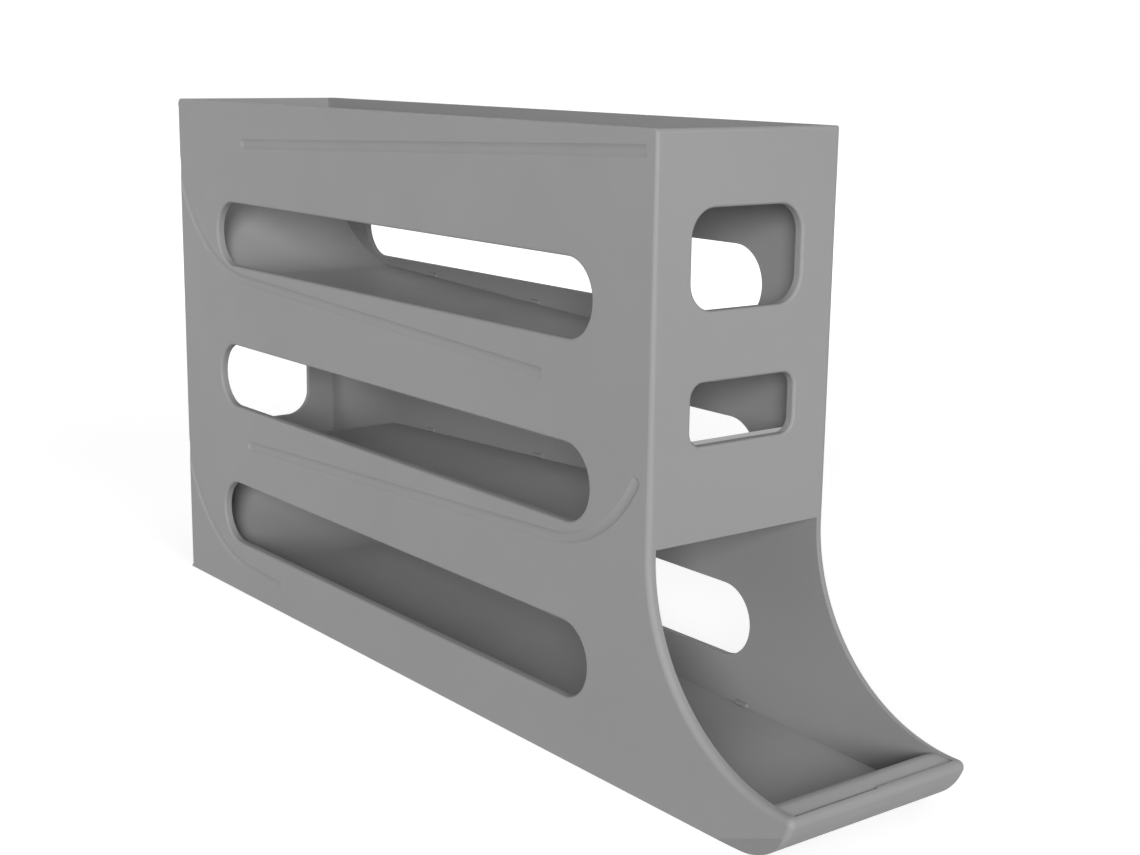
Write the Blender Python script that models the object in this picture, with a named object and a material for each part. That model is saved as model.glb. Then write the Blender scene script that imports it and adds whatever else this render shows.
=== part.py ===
"""Rolling dispenser rack: two moulded half shells around four sloping trays.

Lengths are in metres. Side outlines are drawn in (y, z), with y = 0 at the front wall's outer
face and growing to the back, and z = 0 at the floor. MID moves them to the centre of the part.
"""
import math

import bmesh
import bpy
from mathutils import Vector
from mathutils.geometry import tessellate_polygon

# Body
WIDTH = 0.0726
BODY_LENGTH = 0.3053
NOSE_REACH = 0.0627
WALL = 0.0030
GAP = 0.0003

# Side slots, one to a tier, and the height above the top one
TIER_PITCH = 0.0572
LOWEST_SLOT = 0.0337
HEAD_ROOM = 0.0519
MIDDLE_SLOT = LOWEST_SLOT + TIER_PITCH
UPPER_SLOT = MIDDLE_SLOT + TIER_PITCH
HEIGHT = UPPER_SLOT + HEAD_ROOM
SLOT_R = 0.01255
SLOT_FRONT = 0.02865
SLOT_BACK_INSET = 0.0333
SLOT_BACK = BODY_LENGTH - SLOT_BACK_INSET

# Outer edges of the mouldings
SIDE_FILLET = 0.0019
FOOT_FILLET = 0.0018
FRONT_TOP_FILLET = 0.0011
TOP_RIM = 0.0004
BOTTOM_RIM = 0.0003
BACK_CORNER_R = 0.0035
FRONT_CORNER_R = 0.0012
WINDOW_RIM_R = 0.0010

# Rolled nose
NOSE_TOP = 0.0165
NOSE_R = 0.0225
NOSE_TIP_R = 0.0022
NOSE_FLAT = 0.0005
NOSE_WALL = 0.0024
NOSE_FACET_LENGTH = 0.0307
NOSE_FACET_INSET = 0.0027
NOSE_FACET_START = NOSE_REACH - NOSE_FACET_LENGTH
NOSE_FACET_REACH = NOSE_REACH - NOSE_FACET_INSET
NOSE_FACET_RISE = 0.0105
NOSE_FACET_TILT = math.radians(7)

# Open front under the front wall
FOOT_STEP = 0.0014
FRONT_CURVE_R = NOSE_REACH - NOSE_TIP_R - NOSE_FLAT
FRONT_CURVE_TOP = NOSE_TOP + FRONT_CURVE_R
FRONT_WALL_FOOT = FRONT_CURVE_TOP + FOOT_STEP

# Windows in the front wall and the back wall
UPPER_WINDOW_HALF = 0.0220
UPPER_WINDOW_TALL = 0.0301
UPPER_WINDOW_R = 0.0088
UPPER_WINDOW_DOWN = 0.0009
UPPER_WINDOW_FOOT = UPPER_SLOT - UPPER_WINDOW_DOWN
UPPER_WINDOW_HEAD = UPPER_WINDOW_FOOT + UPPER_WINDOW_TALL
LOWER_WINDOW_HALF = 0.0210
LOWER_WINDOW_TALL = 0.0191
LOWER_WINDOW_R = 0.0047
LOWER_WINDOW_UP = 0.0160
LOWER_WINDOW_FOOT = MIDDLE_SLOT + LOWER_WINDOW_UP
LOWER_WINDOW_HEAD = LOWER_WINDOW_FOOT + LOWER_WINDOW_TALL
BACK_WINDOW_HALF = 0.0214
BACK_WINDOW_TALL = 0.0420
BACK_WINDOW_R = 0.0100
BACK_WINDOW_DOWN = 0.0289
BACK_WINDOW_FOOT = MIDDLE_SLOT - BACK_WINDOW_DOWN
BACK_WINDOW_HEAD = BACK_WINDOW_FOOT + BACK_WINDOW_TALL

# Trays: middle plane of each plate
TRAY = 0.0024
TRAY_SLOPE = math.radians(2.3)
THIRD_SLOPE = math.radians(2.4)
TOP_TRAY_DOWN = 0.0060
TOP_TRAY_FRONT_Z = HEIGHT - TOP_TRAY_DOWN
DROP_BACK_INSET = 0.0543
DROP_BACK = BODY_LENGTH - DROP_BACK_INSET
DROP_FRONT = 0.0530
BACK_CURVE_R = 0.060
BACK_CURVE_PAST = 0.0022
BACK_CURVE_Y = BODY_LENGTH + BACK_CURVE_PAST - BACK_CURVE_R
SECOND_UNDER_SLOT = 0.00475
SECOND_CURVE_Z = UPPER_SLOT - SLOT_R - SECOND_UNDER_SLOT + BACK_CURVE_R
THIRD_CURVE_Y = 0.0498
THIRD_CURVE_R = 0.050
THIRD_UNDER_SLOT = 0.00605
THIRD_CURVE_Z = MIDDLE_SLOT - SLOT_R - THIRD_UNDER_SLOT + THIRD_CURVE_R
BOTTOM_RISE = 0.0113
BOTTOM_LOW = 0.0031
BOTTOM_CURVE_Z = BOTTOM_RISE + BACK_CURVE_R
BOTTOM_SLOPE = math.atan((BOTTOM_RISE - BOTTOM_LOW) / BACK_CURVE_Y)

# Lip at the bottom tray's front end
LIP_INSET = 0.0101
LIP_CREST = NOSE_REACH - LIP_INSET
LIP_FOLD_R = 0.0030
LIP_CURVE_R = 0.0180
LIP_DROP = 0.0002

# Grooves in the outer side faces
GROOVE_WIDTH = 0.0038
GROOVE_DEPTH = 0.0007
GROOVE_END_INSET = 0.0553
GROOVE_BOTTOM_INSET = 0.0803
GROOVE_END = BODY_LENGTH - GROOVE_END_INSET
GROOVE_START_TOP = 0.0047
GROOVE_START_BOTTOM = BODY_LENGTH - GROOVE_BOTTOM_INSET

# Ledges and lugs that hold the trays inside, and the seam's tongue
LEDGE_THICK = 0.0015
LEDGE_DEPTH = 0.0022
LEDGE_END_INSET = 0.0060
LEDGE_FRONT_LOW = 0.0020
LUG_LENGTH = 0.0050
LUG_DEPTH = 0.0009
LUG_THICK = 0.0012
TONGUE_REACH = 0.0018
TONGUE_ROOT = 0.0010
TONGUE_INSET = 0.0015
BITE = 0.0005
CLEAR = 0.0100

# Shares: depth and outward part of a soft window rim, depth and half width of a groove, and
# where the lugs stand along a tray
RIM_SHARES = ((-0.10, 1.30), (0.06, 0.66), (0.29, 0.29), (0.66, 0.06), (1.00, 0.00))
GROOVE_SHARES = ((-0.30, 1.16), (0.25, 0.88), (0.70, 0.60), (1.00, 0.22))
LUG_SHARES = (0.12, 0.50, 0.88)
FILLET_STEPS = 4
CURVE_STEPS = 16
END_STEPS = 12

MID = (BODY_LENGTH - NOSE_REACH) / 2
HALF = WIDTH / 2
INNER = HALF - WALL
FAR_BACK = BODY_LENGTH - WALL
NOSE_GREY = (0.300, 0.300, 0.303)
TRAY_GREY = (0.285, 0.285, 0.288)


def arc(cy, cz, radius, start, end, steps):
    """Points on a round stretch, angles in degrees from +y towards +z."""
    points = []
    for i in range(steps + 1):
        a = math.radians(start + (end - start) * i / steps)
        points.append((cy + radius * math.cos(a), cz + radius * math.sin(a)))
    return points


def clear_scene():
    for obj in list(bpy.data.objects):
        bpy.data.objects.remove(obj)


def make_object(name, bm):
    """Close a bmesh into an object with its faces outward."""
    bmesh.ops.recalc_face_normals(bm, faces=bm.faces)
    mesh = bpy.data.meshes.new(name)
    bm.to_mesh(mesh)
    bm.free()
    obj = bpy.data.objects.new(name, mesh)
    bpy.context.scene.collection.objects.link(obj)
    return obj


def add_loft(bm, loops):
    """Skin a stack of loops with the same number of points and cap both ends."""
    rings = []
    for loop in loops:
        rings.append([bm.verts.new((p[0], p[1] - MID, p[2])) for p in loop])
    count = len(rings[0])
    for low, high in zip(rings, rings[1:]):
        for i in range(count):
            j = (i + 1) % count
            bm.faces.new((low[i], low[j], high[j], high[i]))
    for ring in (rings[0], rings[-1]):
        flat = [Vector(v.co) for v in ring]
        for tri in tessellate_polygon([flat]):
            bm.faces.new([ring[k] for k in tri])


def loft(name, stacks):
    """One object from one or more separate lofts."""
    bm = bmesh.new()
    for loops in stacks:
        add_loft(bm, loops)
    return make_object(name, bm)


def across(outline, x0, x1):
    """A (y, z) outline pushed straight across the width."""
    return [[(x, y, z) for y, z in outline] for x in (x0, x1)]


def combine(body, tool, operation):
    """Apply one exact boolean and drop the tool."""
    modifier = body.modifiers.new("shape", "BOOLEAN")
    modifier.operation = operation
    modifier.solver = "EXACT"
    modifier.use_self = True
    modifier.object = tool
    graph = bpy.context.evaluated_depsgraph_get()
    mesh = bpy.data.meshes.new_from_object(body.evaluated_get(graph))
    body.modifiers.clear()
    body.data = mesh
    bpy.data.objects.remove(tool)


def nose_centre():
    rise = NOSE_TOP - NOSE_TIP_R
    run = math.sqrt((NOSE_R - NOSE_TIP_R) ** 2 - (NOSE_R - rise) ** 2)
    return -NOSE_REACH + NOSE_TIP_R + run, NOSE_R


def side_outline():
    """Outer outline: (y, z), the inward step of its side fillet, and that fillet's radius."""
    cy, cz = nose_centre()
    tip_y = -NOSE_REACH + NOSE_TIP_R
    tip_z = NOSE_TOP - NOSE_TIP_R
    meet = math.degrees(math.atan2(tip_z - cz, tip_y - cy)) + 360
    rows = []

    def add(points, centre, inward, radii):
        last = len(points) - 1
        for i, (y, z) in enumerate(points):
            r = radii[0] + (radii[1] - radii[0]) * i / max(last, 1)
            dy, dz = centre[0] - y, centre[1] - z
            size = math.hypot(dy, dz)
            rows.append((y, z, inward * dy / size * r, inward * dz / size * r, r))

    soft = SIDE_FILLET
    nose_soft = min(soft, NOSE_TIP_R * 0.9)
    rows.append((BODY_LENGTH, 0, -soft, BOTTOM_RIM, soft))
    corner = (BODY_LENGTH - BACK_CORNER_R, HEIGHT - BACK_CORNER_R)
    add(arc(*corner, BACK_CORNER_R, 0, 90, 5), corner, 1, (soft, TOP_RIM))
    corner = (FRONT_CORNER_R, HEIGHT - FRONT_CORNER_R)
    add(arc(*corner, FRONT_CORNER_R, 90, 180, 4), corner, 1, (TOP_RIM, FRONT_TOP_FILLET))
    curve = (-FRONT_CURVE_R, FRONT_CURVE_TOP)
    add(arc(*curve, FRONT_CURVE_R, 0, -90, CURVE_STEPS), curve, -1, (FOOT_FILLET, nose_soft))
    add(arc(tip_y, tip_z, NOSE_TIP_R, 90, meet, 6), (tip_y, tip_z), 1, (nose_soft, nose_soft))
    add(arc(cy, cz, NOSE_R, meet, 270, 8)[1:], (cy, cz), 1, (nose_soft, BOTTOM_RIM))
    rows.append((BODY_LENGTH - BACK_CORNER_R, 0, 0, BOTTOM_RIM, BOTTOM_RIM))
    return rows


def outer_block(name, side):
    """Solid half body with soft side edges."""
    rows = side_outline()
    loops = [[(side * GAP / 2, y, z) for y, z, dy, dz, r in rows]]
    for k in range(FILLET_STEPS + 1):
        a = math.pi / 2 * k / FILLET_STEPS
        step = 1 - math.cos(a)
        loop = []
        for y, z, dy, dz, r in rows:
            loop.append((side * (HALF - r * (1 - math.sin(a))), y + dy * step, z + dz * step))
        loops.append(loop)
    return loft(name, [loops])


def cavity(side):
    """Space between the walls: open at the top, the mouth and the bottom."""
    cy, cz = nose_centre()
    radius = NOSE_R - NOSE_WALL
    lip_top = NOSE_TOP + WALL / 3
    start = 180 + math.degrees(math.asin((cz - lip_top) / radius))
    end = 270 - math.degrees(math.asin(NOSE_WALL / 2 / radius))
    outline = [(WALL, HEIGHT + CLEAR), (WALL, FRONT_WALL_FOOT)]
    outline += [(-NOSE_REACH - CLEAR, FRONT_WALL_FOOT), (-NOSE_REACH - CLEAR, lip_top)]
    outline += arc(cy, cz, radius, start, end, 10)
    outline += [(outline[-1][0], -CLEAR), (FAR_BACK, -CLEAR), (FAR_BACK, HEIGHT + CLEAR)]
    return loft("cavity", [across(outline, -side * WALL, side * INNER)])


def pill(y0, y1, z, radius):
    """Slot outline with full half-round ends."""
    points = arc(y1 - SLOT_R, z, radius, -90, 90, END_STEPS)
    return points + arc(y0 + SLOT_R, z, radius, 90, 270, END_STEPS)


def slot_cutters(side):
    stacks = []
    for height in (UPPER_SLOT, MIDDLE_SLOT, LOWEST_SLOT):
        loops = []
        for depth, out in RIM_SHARES:
            x = side * (HALF - depth * WINDOW_RIM_R)
            outline = pill(SLOT_FRONT, SLOT_BACK, height, SLOT_R + out * WINDOW_RIM_R)
            loops.append([(x, y, z) for y, z in outline])
        loops.append([(side * (INNER - WALL), y, z) for _, y, z in loops[-1]])
        stacks.append(loops)
    return stacks


def window_cutter(half, foot, head, corner, face, inward):
    """Rounded window through a front or back wall, with a soft outer rim."""
    loops = []
    for depth, out in RIM_SHARES:
        r = corner + out * WINDOW_RIM_R
        edge = half - corner
        outline = arc(edge, head - corner, r, 0, 90, 6)
        outline += arc(-edge, head - corner, r, 90, 180, 6)
        outline += arc(-edge, foot + corner, r, 180, 270, 6)
        outline += arc(edge, foot + corner, r, 270, 360, 6)
        y = face + inward * depth * WINDOW_RIM_R
        loops.append([(x, y, z) for x, z in outline])
    loops.append([(x, face + inward * WALL * 2, z) for x, _, z in loops[-1]])
    return loops


def rising_track(curve_z, slope, front):
    """Middle line of a tray that curves up at the back: points with their upward normals."""
    a = math.degrees(slope)
    cy, cz, r = BACK_CURVE_Y, curve_z, BACK_CURVE_R
    bend = arc(cy, cz, r, -90 + a, -4, CURVE_STEPS)
    first = bend[0]
    normal = (-math.sin(slope), math.cos(slope))
    track = [(front, first[1] - (first[0] - front) * math.tan(slope), *normal)]
    for y, z in bend:
        track.append((y, z, (cy - y) / r, (cz - z) / r))
    return track


def third_track(back):
    """Middle line of the tray that curves up at the front."""
    a = math.degrees(THIRD_SLOPE)
    cy, cz, r = THIRD_CURVE_Y, THIRD_CURVE_Z, THIRD_CURVE_R
    track = []
    for y, z in arc(cy, cz, r, -178, -90 - a, CURVE_STEPS):
        track.append((y, z, (cy - y) / r, (cz - z) / r))
    y, z = track[-1][:2]
    normal = (math.sin(THIRD_SLOPE), math.cos(THIRD_SLOPE))
    track.append((back, z - (back - y) * math.tan(THIRD_SLOPE), *normal))
    return track


def top_track(front, back):
    normal = (math.sin(TRAY_SLOPE), math.cos(TRAY_SLOPE))
    drop = math.tan(TRAY_SLOPE)
    return [(y, TOP_TRAY_FRONT_Z - y * drop, *normal) for y in (front, back)]


def shifted(track, offset):
    return [(y + ny * offset, z + nz * offset) for y, z, ny, nz in track]


def clipped(points, low, high):
    """Part of an open line between two y limits, with its end points on the limits."""
    kept = []
    for (y0, z0), (y1, z1) in zip(points, points[1:]):
        ends = sorted((((low - y0) / (y1 - y0)), ((high - y0) / (y1 - y0))))
        t0, t1 = max(0, ends[0]), min(1, ends[1])
        if t0 >= t1:
            continue
        for t in (t0, t1):
            p = (y0 + (y1 - y0) * t, z0 + (z1 - z0) * t)
            if not kept or math.dist(p, kept[-1]) > GAP / 100:
                kept.append(p)
    return kept


def round_end(upper, lower, steps):
    """Half-round end of a plate from its upper edge point to its lower one."""
    my, mz = (upper[0] + lower[0]) / 2, (upper[1] + lower[1]) / 2
    r = math.dist(upper, lower) / 2
    start = math.degrees(math.atan2(upper[1] - mz, upper[0] - my))
    return arc(my, mz, r, start, start - 180, steps)[1:-1]


def plate(track, low, high, rounded):
    """Closed outline of a tray plate; the free end named in rounded is half round."""
    inset = TRAY / 2
    low_cut = low + inset if rounded == "front" else low
    high_cut = high - inset if rounded == "back" else high
    top = clipped(shifted(track, inset), low_cut, high_cut)
    under = clipped(shifted(track, -inset), low_cut, high_cut)
    outline = top
    if rounded == "back":
        outline = outline + round_end(top[-1], under[-1], 6)
    outline = outline + under[::-1]
    if rounded == "front":
        outline = outline + round_end(under[0], top[0], 6)
    return outline


def lip_outline():
    """Bottom tray: back curve, long slope, rise to the crest and flat top band."""
    track = rising_track(BOTTOM_CURVE_Z, BOTTOM_SLOPE, 0)
    slope = math.tan(BOTTOM_SLOPE)
    half = TRAY / 2
    crest_y = -LIP_CREST
    crest_z = NOSE_TOP - LIP_DROP - LIP_FOLD_R
    curve_y = crest_y + LIP_CURVE_R
    for _ in range(12):
        floor_z = track[0][1] + slope * curve_y + (half + LIP_CURVE_R) / math.cos(BOTTOM_SLOPE)
        run = math.sqrt((LIP_CURVE_R + LIP_FOLD_R) ** 2 - (floor_z - crest_z) ** 2)
        curve_y = crest_y + run
    curve_z = floor_z
    meet = math.degrees(math.atan2(curve_z - crest_z, curve_y - crest_y))
    base = -90 + math.degrees(BOTTOM_SLOPE)

    def edge(offset):
        rise = LIP_CURVE_R - offset
        fold = LIP_FOLD_R + offset
        bend = arc(curve_y, curve_z, rise, base, meet - 180, 10)
        turn = arc(crest_y, crest_z, fold, meet, 90, 5)
        cy, cz = nose_centre()
        r = NOSE_R - NOSE_WALL - GAP
        z = crest_z + fold
        return bend + turn[1:] + [(cy - math.sqrt(r ** 2 - (cz - z) ** 2), z)]

    back = FAR_BACK - GAP
    top = clipped(shifted(track, half), 0, back)[1:]
    under = clipped(shifted(track, -half), 0, back)[1:]
    return edge(0)[::-1] + top + under[::-1] + edge(-TRAY)


def band(track, half, start, end):
    """Outline of a band of constant half width; ends are cut square or rounded."""
    outline = shifted(track, half)
    y, z, ny, nz = track[-1]
    if end == "round":
        outline += round_end((y + ny * half, z + nz * half), (y - ny * half, z - nz * half), 6)
    outline += shifted(track, -half)[::-1]
    y, z, ny, nz = track[0]
    if start == "round":
        outline += round_end((y - ny * half, z - nz * half), (y + ny * half, z + nz * half), 6)
    return outline


def groove_tracks():
    """Line and end shapes of each groove, from the top tray down."""
    half = GROOVE_WIDTH / 2
    past = BODY_LENGTH + CLEAR
    back = GROOVE_END - half
    top = top_track(GROOVE_START_TOP, back)
    second = [p for p in rising_track(SECOND_CURVE_Z, TRAY_SLOPE, DROP_FRONT) if p[0] < past]
    third = [p for p in third_track(back) if p[0] > WALL * 2]
    bottom = rising_track(BOTTOM_CURVE_Z, BOTTOM_SLOPE, GROOVE_START_BOTTOM)
    return ((top, "square", "round"), (second, "square", "open"),
            (third, "round", "round"), (bottom, "square", "open"))


def groove_cutters(side):
    stacks = []
    for track, start, end in groove_tracks():
        loops = []
        for depth, wide in GROOVE_SHARES:
            half = GROOVE_WIDTH / 2 * wide
            line = list(track)
            if start == "square":
                y, z, ny, nz = line[0]
                move = GROOVE_WIDTH / 2 * (1 - wide)
                line[0] = (y + nz * move, z - ny * move, ny, nz)
            x = side * (HALF - depth * GROOVE_DEPTH)
            loops.append([(x, y, z) for y, z in band(line, half, start, end)])
        stacks.append(loops)
    return stacks


def facet_cutter(side):
    """Shallow tilted relief on the lower front corner of the side face."""
    y0, z0 = -NOSE_FACET_START, 0
    y1, z1 = -NOSE_FACET_REACH, NOSE_FACET_RISE
    length = math.dist((y0, z0), (y1, z1))
    uy, uz = (y1 - y0) / length, (z1 - z0) / length
    ny, nz = uz * -1, uy
    tilt = math.tan(NOSE_FACET_TILT)
    loops = []
    for along in (-CLEAR, length + CLEAR):
        loop = []
        for away, x in ((-WALL, HALF + WALL * tilt), (CLEAR, HALF - CLEAR * tilt),
                        (CLEAR, HALF + WALL), (-WALL, HALF + WALL)):
            loop.append((side * x, y0 + uy * along + ny * away, z0 + uz * along + nz * away))
        loops.append(loop)
    return loops


def ledge_outline(track, low, high, upper, lower):
    top = clipped(shifted(track, upper), low, high)
    under = clipped(shifted(track, lower), low, high)
    return top + under[::-1]


def tray_supports(side):
    """Ledge under each tray edge and small lugs over it."""
    upper = -(TRAY / 2 + GAP)
    lower = upper - LEDGE_THICK
    lug_low = TRAY / 2 + GAP
    lug_high = lug_low + LUG_THICK
    into_front = WALL - BITE
    into_back = FAR_BACK + BITE
    free_back = DROP_BACK - LEDGE_END_INSET
    free_front = DROP_FRONT + LEDGE_END_INSET
    bend = BACK_CURVE_Y - LEDGE_END_INSET
    rows = (
        (top_track(0, DROP_BACK), into_front, free_back, CLEAR, free_back),
        (rising_track(SECOND_CURVE_Z, TRAY_SLOPE, DROP_FRONT), free_front, into_back,
         free_front, bend),
        (third_track(DROP_BACK), into_front, free_back, THIRD_CURVE_Y, free_back),
        (rising_track(BOTTOM_CURVE_Z, BOTTOM_SLOPE, LEDGE_FRONT_LOW - CLEAR), LEDGE_FRONT_LOW,
         into_back, LEDGE_FRONT_LOW, bend),
    )
    stacks = []
    for track, low, high, lug_from, lug_to in rows:
        outline = ledge_outline(track, low, high, upper, lower)
        stacks.append(across(outline, side * (INNER - LEDGE_DEPTH), side * (INNER + BITE)))
        for share in LUG_SHARES:
            at = lug_from + (lug_to - lug_from) * share
            outline = ledge_outline(track, at - LUG_LENGTH / 2, at + LUG_LENGTH / 2,
                                    lug_low, lug_high)
            stacks.append(across(outline, side * (INNER - LUG_DEPTH), side * (INNER + BITE)))
    return stacks


def tongue_outlines(spare):
    """Inner half of the front, back and nose walls, grown by the spare clearance."""
    inner = WALL / 2 + GAP / 2 - spare
    past = 0
    if spare > 0:
        past = WALL / 3
    foot = FRONT_WALL_FOOT + TONGUE_INSET - spare
    head = HEIGHT - TONGUE_INSET + spare
    low = TONGUE_INSET - spare
    front = [(inner, foot), (WALL + past, foot), (WALL + past, head), (inner, head)]
    y0 = FAR_BACK - past
    y1 = BODY_LENGTH - inner
    back = [(y0, low), (y1, low), (y1, head), (y0, head)]
    cy, cz = nose_centre()
    r_in = NOSE_R - NOSE_WALL - past
    r_out = NOSE_R - NOSE_WALL / 2 - GAP / 2 + spare
    turn = math.degrees(TONGUE_INSET / NOSE_R)
    ease = math.degrees(spare / NOSE_R)
    start = 180 + math.degrees(math.asin((cz - NOSE_TOP) / NOSE_R)) + turn - ease
    end = 270 - turn * 2 + ease
    nose = arc(cy, cz, r_in, start, end, 8) + arc(cy, cz, r_out, end, start, 8)
    return front, back, nose


def half_shell(name, side, colour):
    body = outer_block(name, side)
    combine(body, cavity(side), "DIFFERENCE")
    supports = tray_supports(side)
    if side < 0:
        reach = (side * (TONGUE_ROOT + GAP / 2), TONGUE_REACH)
        supports += [across(outline, *reach) for outline in tongue_outlines(0)]
    combine(body, loft("supports", supports), "UNION")
    cuts = slot_cutters(side) + groove_cutters(side)
    cuts.append(window_cutter(UPPER_WINDOW_HALF, UPPER_WINDOW_FOOT, UPPER_WINDOW_HEAD,
                              UPPER_WINDOW_R, 0, 1))
    cuts.append(window_cutter(LOWER_WINDOW_HALF, LOWER_WINDOW_FOOT, LOWER_WINDOW_HEAD,
                              LOWER_WINDOW_R, 0, 1))
    cuts.append(window_cutter(BACK_WINDOW_HALF, BACK_WINDOW_FOOT, BACK_WINDOW_HEAD,
                              BACK_WINDOW_R, BODY_LENGTH, -1))
    combine(body, loft("cuts", cuts), "DIFFERENCE")
    combine(body, loft("facet", [facet_cutter(side)]), "DIFFERENCE")
    if side > 0:
        reach = (-TONGUE_ROOT, TONGUE_REACH + GAP)
        rebates = [across(outline, *reach) for outline in tongue_outlines(GAP)]
        combine(body, loft("rebates", rebates), "DIFFERENCE")
    finish(body, colour)


def tray(name, outline, colour):
    width = INNER - GAP
    finish(loft(name, [across(outline, -width, width)]), colour)


def finish(obj, colour):
    """Clean the mesh, shade it and give it its own material."""
    bm = bmesh.new()
    bm.from_mesh(obj.data)
    bmesh.ops.remove_doubles(bm, verts=bm.verts, dist=GAP / 300)
    bmesh.ops.dissolve_degenerate(bm, edges=bm.edges, dist=GAP / 300)
    bmesh.ops.dissolve_limit(bm, angle_limit=math.radians(0.05), verts=bm.verts, edges=bm.edges)
    bmesh.ops.triangulate(bm, faces=bm.faces)
    bmesh.ops.recalc_face_normals(bm, faces=bm.faces)
    loose = sum(1 for e in bm.edges if not e.is_manifold)
    bm.to_mesh(obj.data)
    bm.free()
    for face in obj.data.polygons:
        face.use_smooth = True
    obj.data.set_sharp_from_angle(angle=math.radians(32))
    obj.data.name = obj.name
    material = bpy.data.materials.new(obj.name)
    material.use_nodes = True
    shader = material.node_tree.nodes["Principled BSDF"]
    shader.inputs["Base Color"].default_value = (*colour, 1)
    shader.inputs["Roughness"].default_value = 0.55
    shader.inputs["Metallic"].default_value = 0
    obj.data.materials.clear()
    obj.data.materials.append(material)
    print(obj.name, "triangles", len(obj.data.polygons), "open edges", loose)


def main():
    clear_scene()
    half_shell("left_half_shell", -1, NOSE_GREY)
    half_shell("right_half_shell", 1, NOSE_GREY)
    front = WALL + GAP
    back = FAR_BACK - GAP
    tray("top_tray", plate(top_track(0, DROP_BACK), front, DROP_BACK, "back"), TRAY_GREY)
    second = rising_track(SECOND_CURVE_Z, TRAY_SLOPE, DROP_FRONT)
    tray("second_tray", plate(second, DROP_FRONT, back, "front"), TRAY_GREY)
    tray("third_tray", plate(third_track(DROP_BACK), front, DROP_BACK, "back"), TRAY_GREY)
    tray("bottom_tray", lip_outline(), TRAY_GREY)


main()
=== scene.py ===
"""Looks of the rolling dispenser rack: two moulded half shells round four sloping trays.

Lengths are metres. Side outlines are drawn in (y, z), with y = 0 at the front wall's outer face.
"""
import math

import bmesh
import bpy
from bpy.props import FloatProperty, FloatVectorProperty, IntProperty, PointerProperty
from mathutils import Matrix, Vector


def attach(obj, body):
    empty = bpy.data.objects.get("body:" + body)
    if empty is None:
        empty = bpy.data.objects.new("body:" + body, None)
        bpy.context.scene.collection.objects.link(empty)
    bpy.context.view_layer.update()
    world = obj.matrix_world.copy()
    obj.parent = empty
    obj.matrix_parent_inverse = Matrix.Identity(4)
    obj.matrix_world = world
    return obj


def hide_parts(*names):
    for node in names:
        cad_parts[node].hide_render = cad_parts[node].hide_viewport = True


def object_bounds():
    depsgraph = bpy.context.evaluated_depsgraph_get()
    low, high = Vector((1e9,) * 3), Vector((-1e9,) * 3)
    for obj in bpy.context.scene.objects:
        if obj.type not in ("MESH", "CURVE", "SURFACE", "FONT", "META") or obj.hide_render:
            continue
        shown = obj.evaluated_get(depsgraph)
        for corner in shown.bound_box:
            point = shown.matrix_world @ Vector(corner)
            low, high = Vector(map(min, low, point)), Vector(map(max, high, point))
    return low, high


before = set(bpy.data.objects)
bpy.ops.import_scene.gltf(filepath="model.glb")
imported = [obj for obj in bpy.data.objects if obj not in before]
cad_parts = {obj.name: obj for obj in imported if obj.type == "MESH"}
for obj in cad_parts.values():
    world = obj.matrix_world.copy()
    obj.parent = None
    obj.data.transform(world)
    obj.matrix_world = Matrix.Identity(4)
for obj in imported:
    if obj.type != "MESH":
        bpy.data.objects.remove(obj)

bl_info = {
    "name": "Rolling dispenser rack",
    "version": (1, 0, 0),
    "blender": (4, 5, 0),
    "location": "View3D > Sidebar > Rack",
    "description": "Builds the rack's mouldings, its trays and the stage round them",
    "category": "Object",
}

CAD_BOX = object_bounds()
BODY = "root"
IMAGE_WIDTH = 1140

# The whole rack, read from the frame
WIDTH = CAD_BOX[1].x - CAD_BOX[0].x
HEIGHT = CAD_BOX[1].z
TOTAL_LENGTH = CAD_BOX[1].y - CAD_BOX[0].y
NOSE_REACH = 0.0627
LENGTH = TOTAL_LENGTH - NOSE_REACH
MID = LENGTH - CAD_BOX[1].y
HALF = WIDTH / 2

# Soft outer edges
TOP_RIM = 0.0004
BOTTOM_RIM = 0.0003
FRONT_TOP_SOFT = 0.0011
FOOT_SOFT = 0.0018
NOSE_SOFT = 0.00198
BACK_CORNER = 0.0035
BACK_FOOT = 0.0015
FRONT_CORNER = 0.0012

# Rolled nose and the open front above it
NOSE_TOP = 0.0165
NOSE_R = 0.0225
TIP_R = 0.0022
TIP = (TIP_R - NOSE_REACH, NOSE_TOP - TIP_R)
NOSE_CENTRE = (TIP[0] + math.sqrt((NOSE_R - TIP_R) ** 2 - (NOSE_R - TIP[1]) ** 2), NOSE_R)
NOSE_FLAT = 0.0005
NOSE_WALL = 0.00345
NOSE_JOINT_SOFT = 0.0010
SEAM_STEP = 0.0005
FRONT_CURVE = NOSE_REACH - TIP_R - NOSE_FLAT
FRONT_CURVE_TOP = NOSE_TOP + FRONT_CURVE
FRONT_FOOT = FRONT_CURVE_TOP + 0.0014
FACET_LENGTH = 0.0307
FACET_INSET = 0.0027
FACET_RISE = 0.0105
FACET_TILT = math.radians(7)

# Side slots and windows: half width, foot, head and corner of each window
SLOTS = (0.0337, 0.0909, 0.1481)
SLOT_R = 0.01255
SLOT_FRONT = 0.02865
SLOT_BACK = LENGTH - 0.0333
FRONT_WINDOWS = ((0.0220, 0.1472, 0.1773, 0.0088), (0.0210, 0.1069, 0.1260, 0.0047))
BACK_WINDOWS = ((0.0214, 0.0620, 0.1040, 0.0100),)

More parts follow.
